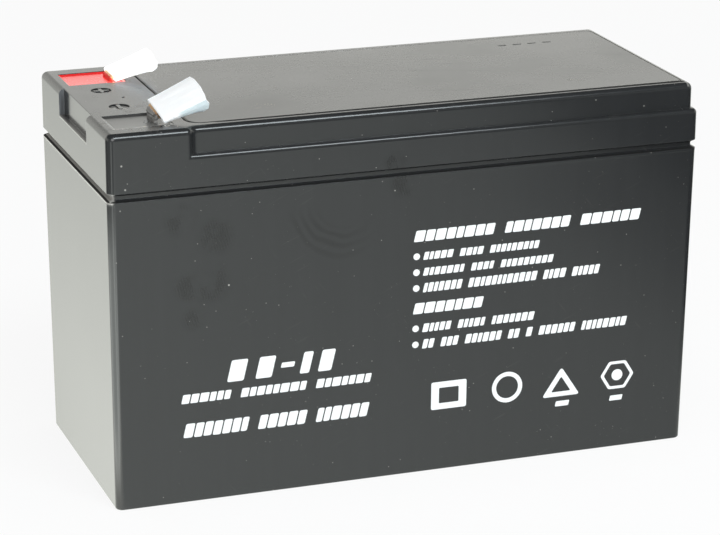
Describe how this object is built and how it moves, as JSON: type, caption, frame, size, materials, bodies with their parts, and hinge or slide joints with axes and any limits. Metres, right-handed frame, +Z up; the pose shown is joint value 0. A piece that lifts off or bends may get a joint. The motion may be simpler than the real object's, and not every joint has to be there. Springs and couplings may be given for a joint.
{
  "type": "sealed lead-acid battery",
  "caption": "Rectangular black sealed lead-acid block battery with a glued lid, a flush cover plate and two sleeved blade terminals in potted wells at one end.",
  "frame": {"origin": "middle of the underside, on the surface that the battery stands on", "axes": "+Z up, +X along the length away from the terminals, the printed front faces -Y"},
  "size_m": [0.151, 0.065, 0.103],
  "materials": {
    "case_plastic": "moulded, semi-gloss",
    "lid_plastic": "moulded, semi-gloss",
    "cover_plastic": "moulded, satin",
    "bond": "cured adhesive",
    "rubber": "matte",
    "positive_paste": "dry brown paste on a lead grid",
    "negative_paste": "dry grey paste on a lead grid",
    "glass_mat": "soft white mat",
    "lead": "cast lead, dull",
    "plated_tab": "plated, worn",
    "negative_potting": "cast, glossy",
    "positive_potting": "cast, glossy",
    "sleeve": "translucent, satin"
  },
  "bodies": {
    "root": {"case": "case_plastic", "lid": "lid_plastic", "vent_cover": "cover_plastic", "lid_bond": "bond", "valve_cap_1": "rubber", "positive_plates_1": "positive_paste", "negative_plates_1": "negative_paste", "separators_1": "glass_mat", "valve_cap_2": "rubber", "positive_plates_2": "positive_paste", "negative_plates_2": "negative_paste", "separators_2": "glass_mat", "valve_cap_3": "rubber", "positive_plates_3": "positive_paste", "negative_plates_3": "negative_paste", "separators_3": "glass_mat", "valve_cap_4": "rubber", "positive_plates_4": "positive_paste", "negative_plates_4": "negative_paste", "separators_4": "glass_mat", "valve_cap_5": "rubber", "positive_plates_5": "positive_paste", "negative_plates_5": "negative_paste", "separators_5": "glass_mat", "valve_cap_6": "rubber", "positive_plates_6": "positive_paste", "negative_plates_6": "negative_paste", "separators_6": "glass_mat", "cell_link_1_2": "lead", "cell_link_2_3": "lead", "cell_link_3_4": "lead", "cell_link_4_5": "lead", "cell_link_5_6": "lead", "negative_post": "lead", "negative_gasket": "rubber", "negative_tab": "plated_tab", "negative_seal": "negative_potting", "negative_sleeve": "sleeve", "positive_post": "lead", "positive_gasket": "rubber", "positive_tab": "plated_tab", "positive_seal": "positive_potting", "positive_sleeve": "sleeve"}
  },
  "joints": []
}
